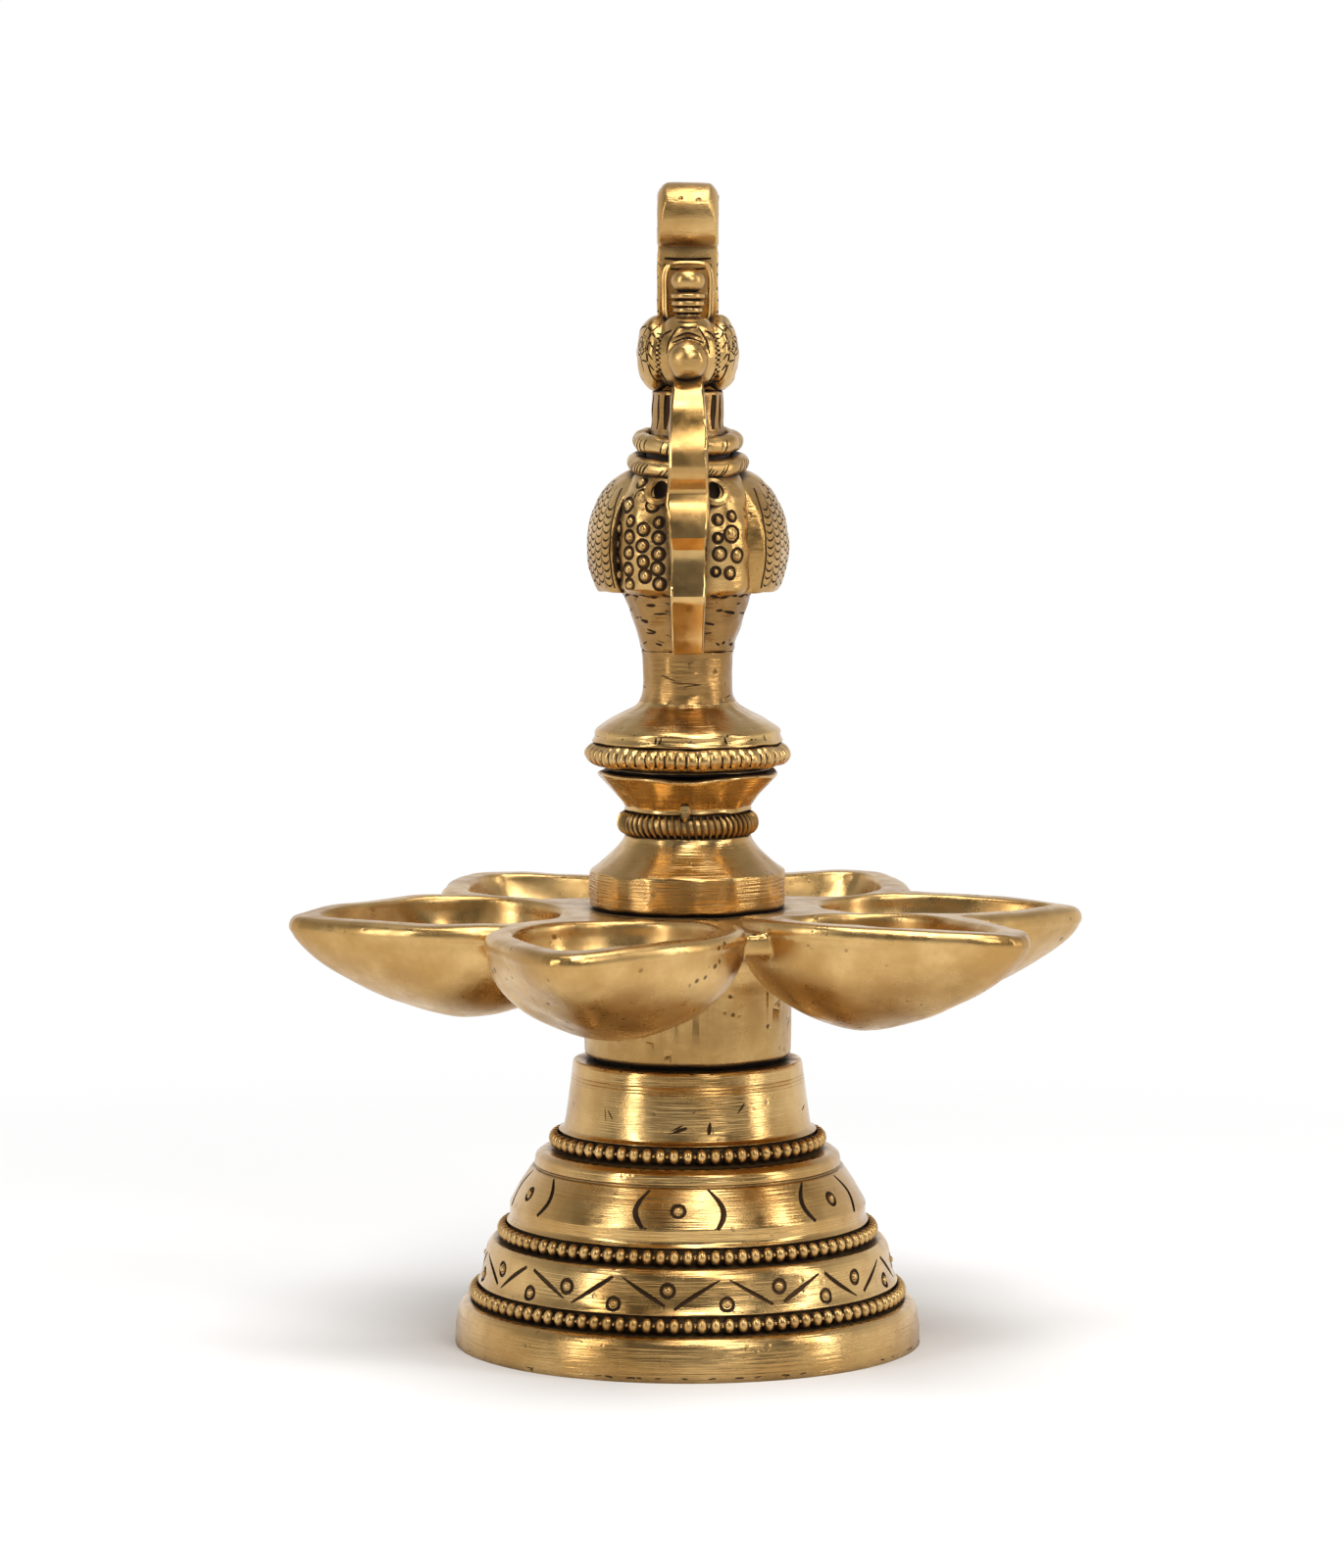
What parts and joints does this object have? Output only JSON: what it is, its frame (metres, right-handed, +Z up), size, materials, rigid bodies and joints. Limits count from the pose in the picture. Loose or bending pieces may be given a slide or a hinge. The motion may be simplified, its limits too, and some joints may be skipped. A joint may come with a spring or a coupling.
{
  "type": "peacock oil lamp",
  "caption": "Free-standing cast brass oil lamp: bell-shaped beaded base, flower-shaped tray of leaf-shaped oil bowls, turned stem and a peacock finial with a garland in its beak.",
  "frame": {"origin": "centre of the foot ring, on the surface the lamp stands on", "axes": "+Z up along the lamp's turned axis; the bird faces -Y; +X is to the right as the bird is faced"},
  "size_m": [0.1578, 0.1461, 0.2298],
  "materials": {
    "cast_brass": "cast, turned and hand-filed yellow brass, aged and rubbed, with dark patina in the hollows",
    "ornament_brass": "beaded and twisted brass wire, bright on the crowns and dark brown between them",
    "stud_brass": "threaded brass rod",
    "washer_leather": "thin dark packing washer, soaked with oil"
  },
  "bodies": {
    "base": {"base_pedestal": "cast_brass", "bead_ring_lower": "ornament_brass", "bead_ring_middle": "ornament_brass", "bead_ring_upper": "ornament_brass"},
    "tray_seal": {"tray_washer": "washer_leather"},
    "tray": {"tray_stud": "stud_brass", "oil_tray": "cast_brass"},
    "stem_seal": {"stem_washer": "washer_leather"},
    "stem": {"stem_stud": "stud_brass", "stem": "cast_brass", "stem_rope_ring": "ornament_brass"},
    "finial_seal": {"finial_washer": "washer_leather"},
    "finial": {"finial_stud": "stud_brass", "finial_foot": "cast_brass", "finial_rope_ring": "ornament_brass", "peacock_body": "cast_brass", "left_wing": "cast_brass", "right_wing": "cast_brass", "lower_neck_ring": "ornament_brass", "upper_neck_ring": "ornament_brass", "peacock_head": "cast_brass", "crest": "ornament_brass", "tail_plume": "cast_brass", "beak_garland": "cast_brass"}
  },
  "joints": [
    {"name": "tray_turn", "type": "hinge", "parent": "base", "child": "tray_seal", "pos_m": [0, 0, 0.0565], "axis": [0, 0, 1], "range_deg": [0, 1620]},
    {"name": "tray_lift", "type": "slide", "parent": "tray_seal", "child": "tray", "axis": [0, 0, 1], "range_m": [0, 0.0091]},
    {"name": "stem_turn", "type": "hinge", "parent": "tray", "child": "stem_seal", "pos_m": [0, 0, 0.0865], "axis": [0, 0, 1], "range_deg": [0, 1620]},
    {"name": "stem_lift", "type": "slide", "parent": "stem_seal", "child": "stem", "axis": [0, 0, 1], "range_m": [0, 0.0091]},
    {"name": "finial_turn", "type": "hinge", "parent": "stem", "child": "finial_seal", "pos_m": [0, 0, 0.1138], "axis": [0, 0, 1], "range_deg": [0, 1620]},
    {"name": "finial_lift", "type": "slide", "parent": "finial_seal", "child": "finial", "axis": [0, 0, 1], "range_m": [0, 0.0091]}
  ],
  "couplings": [
    {"joint": "tray_lift", "follows": "tray_turn", "m_per_rad": 0.00031831},
    {"joint": "stem_lift", "follows": "stem_turn", "m_per_rad": 0.00031831},
    {"joint": "finial_lift", "follows": "finial_turn", "m_per_rad": 0.00031831}
  ]
}
